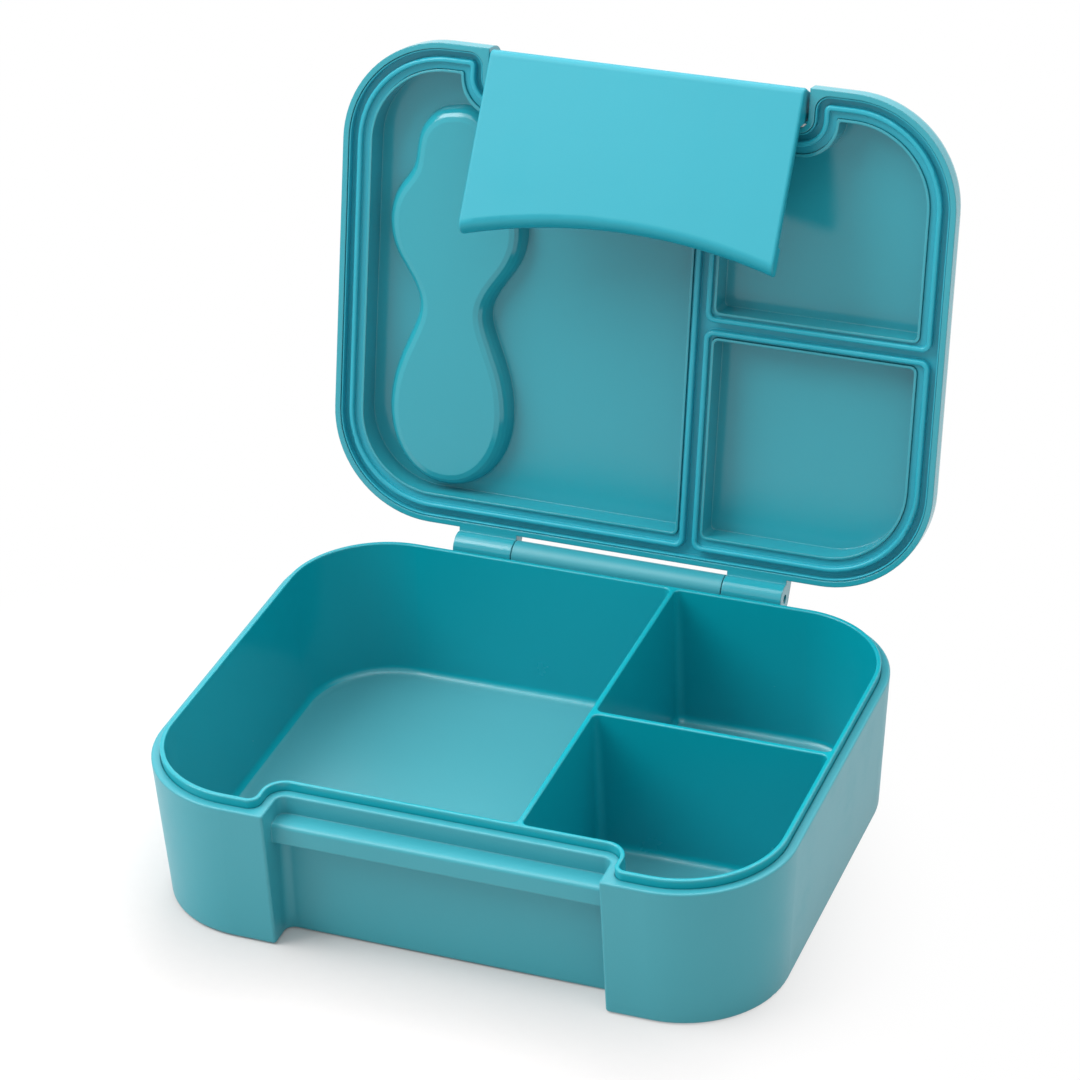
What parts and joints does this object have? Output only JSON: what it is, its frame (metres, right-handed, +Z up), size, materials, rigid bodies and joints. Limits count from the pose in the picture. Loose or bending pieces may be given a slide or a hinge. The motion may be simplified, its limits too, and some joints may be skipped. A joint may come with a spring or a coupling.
{
  "type": "bento lunch box",
  "caption": "Shallow lunch box with a divided tray, a hinged lid with a moulded seal and cutlery pocket, and a wide snap latch over a front recess.",
  "frame": {"origin": "centre of the base's footprint, on the face that it rests on", "axes": "+X across the box, +Y from the latch side to the hinge side, +Z up; the lid stands open"},
  "size_m": [0.21, 0.219, 0.2168],
  "materials": {
    "body_teal": "satin moulded polypropylene",
    "tray_teal": "satin moulded polypropylene",
    "lid_teal": "satin moulded polypropylene",
    "seal_silicone": "soft satin silicone",
    "latch_turquoise": "fine satin moulded plastic",
    "pin_steel": "drawn wire",
    "spork_plastic": "satin moulded plastic"
  },
  "bodies": {
    "base": {"base_shell": "body_teal", "compartment_tray": "tray_teal", "lid_hinge_pin": "pin_steel"},
    "lid": {"lid": "lid_teal", "lid_seal": "seal_silicone", "latch_hinge_pin": "pin_steel"},
    "latch": {"latch": "latch_turquoise"},
    "spork": {"spork": "spork_plastic"}
  },
  "joints": [
    {"name": "lid_hinge", "type": "hinge", "parent": "base", "child": "lid", "pos_m": [0, 0.0887, 0.0495], "axis": [1, 0, 0], "range_deg": [0, 102.2]},
    {"name": "latch_hinge", "type": "hinge", "parent": "lid", "child": "latch", "pos_m": [0, 0.12941, 0.20562], "axis": [1, 0, 0], "range_deg": [-100, 5]},
    {"name": "spork_lift", "type": "slide", "parent": "lid", "child": "spork", "axis": [0, 0.9774, -0.2113], "range_m": [0, 0.04]}
  ],
  "couplings": [
    {"joint": "latch_hinge", "follows": "lid_hinge", "ratio": -0.65068}
  ]
}
